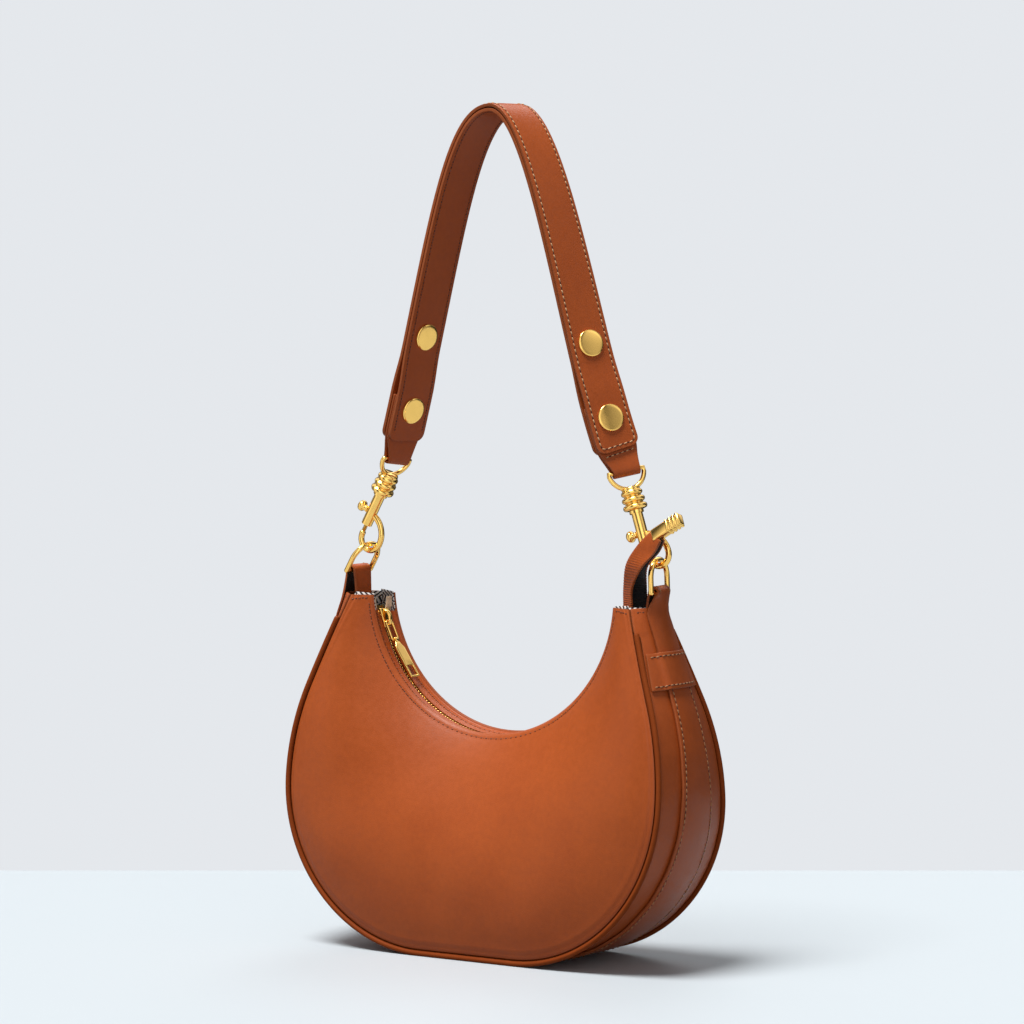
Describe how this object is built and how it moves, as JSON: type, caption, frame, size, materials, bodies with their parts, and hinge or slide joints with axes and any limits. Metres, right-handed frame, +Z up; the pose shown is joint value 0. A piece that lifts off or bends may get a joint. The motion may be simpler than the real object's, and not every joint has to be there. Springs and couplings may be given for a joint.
{
  "type": "half moon shoulder bag",
  "caption": "Half moon leather shoulder bag with a concave zip top, piped gusset, D-rings and a riveted clip-on leather strap.",
  "frame": {"origin": "middle of the bag's footprint on the floor", "axes": "+X along the bag towards the end with the zip's tail, -Y the front, +Z up"},
  "size_m": [0.2576, 0.0756, 0.471],
  "materials": {
    "body_leather": "smooth satin, tan brown",
    "piping_leather": "smooth satin, tan brown",
    "gold_metal": "polished light gold",
    "spring_steel": "plain",
    "lining_cloth": "herringbone weave in dark brown and cream",
    "zip_cloth": "woven tape, cream tan",
    "board": "plain fibre board"
  },
  "bodies": {
    "bag": {"front_panel": "body_leather", "back_panel": "body_leather", "gusset": "body_leather", "gusset_band": "body_leather", "front_piping": "piping_leather", "back_piping": "piping_leather", "left_keeper": "body_leather", "right_keeper": "body_leather", "left_ring_tab": "body_leather", "right_ring_tab": "body_leather", "zip_facing_front": "body_leather", "zip_facing_back": "body_leather", "zip_tape_front": "zip_cloth", "zip_tape_back": "zip_cloth", "zip_teeth_front": "gold_metal", "zip_teeth_back": "gold_metal", "zip_stops": "gold_metal", "zip_tail": "body_leather", "tail_cap": "gold_metal", "front_lining": "lining_cloth", "back_lining": "lining_cloth", "side_lining": "lining_cloth", "base_board": "board"},
    "slider": {"zip_slider": "gold_metal"},
    "link": {"pull_link": "gold_metal"},
    "tab": {"pull_tab": "gold_metal"},
    "ring_left": {"left_ring": "gold_metal"},
    "ring_right": {"right_ring": "gold_metal"},
    "strap": {"strap_outer": "body_leather", "strap_inner": "body_leather", "left_strap_tab": "body_leather", "right_strap_tab": "body_leather", "left_rivets": "gold_metal", "right_rivets": "gold_metal", "left_swivel_eye": "gold_metal", "right_swivel_eye": "gold_metal"},
    "snap_left": {"left_snap": "gold_metal", "left_snap_spring": "spring_steel"},
    "snap_right": {"right_snap": "gold_metal", "right_snap_spring": "spring_steel"},
    "trigger_left": {"left_trigger": "gold_metal"},
    "trigger_right": {"right_trigger": "gold_metal"}
  },
  "joints": [
    {"name": "zip_slide", "type": "hinge", "parent": "bag", "child": "slider", "pos_m": [0, 0, 0.20364], "axis": [0, -1, 0], "range_deg": [0, 152]},
    {"name": "pull_link_hinge", "type": "hinge", "parent": "slider", "child": "link", "pos_m": [-0.07708, 0, 0.18171], "axis": [0, -1, 0], "range_deg": [0, 100]},
    {"name": "pull_tab_hinge", "type": "hinge", "parent": "link", "child": "tab", "pos_m": [-0.07237, 0, 0.171], "axis": [0, -1, 0], "range_deg": [0, 65]},
    {"name": "left_ring_hinge", "type": "hinge", "parent": "bag", "child": "ring_left", "pos_m": [-0.098, 0, 0.20985], "axis": [0.1045, 0.9945, 0], "range_deg": [-10, 2]},
    {"name": "right_ring_hinge", "type": "hinge", "parent": "bag", "child": "ring_right", "pos_m": [0.103, 0, 0.20585], "axis": [-0.1045, 0.9945, 0], "range_deg": [-3, 3]},
    {"name": "strap_fold", "type": "hinge", "parent": "bag", "child": "strap", "pos_m": [0, -0.00049, 0.22041], "axis": [-1, 0, 0], "range_deg": [-4, 90]},
    {"name": "left_swivel", "type": "hinge", "parent": "strap", "child": "snap_left", "pos_m": [-0.09161, -0.00097, 0.23597], "axis": [0.4924, 0, 0.8704], "range_deg": [-10, 10]},
    {"name": "right_swivel", "type": "hinge", "parent": "strap", "child": "snap_right", "pos_m": [0.09435, -0.00006, 0.22989], "axis": [-0.3007, 0, 0.9537], "range_deg": [-10, 10]},
    {"name": "left_trigger_slide", "type": "slide", "parent": "snap_left", "child": "trigger_left", "axis": [0.4924, 0, 0.8704], "range_m": [0, 0.006], "stiffness_N_per_m": 150, "springref_m": -0.004, "deforming": ["left_snap_spring"]},
    {"name": "right_trigger_slide", "type": "slide", "parent": "snap_right", "child": "trigger_right", "axis": [-0.3007, 0, 0.9537], "range_m": [0, 0.006], "stiffness_N_per_m": 150, "springref_m": -0.004, "deforming": ["right_snap_spring"]}
  ]
}
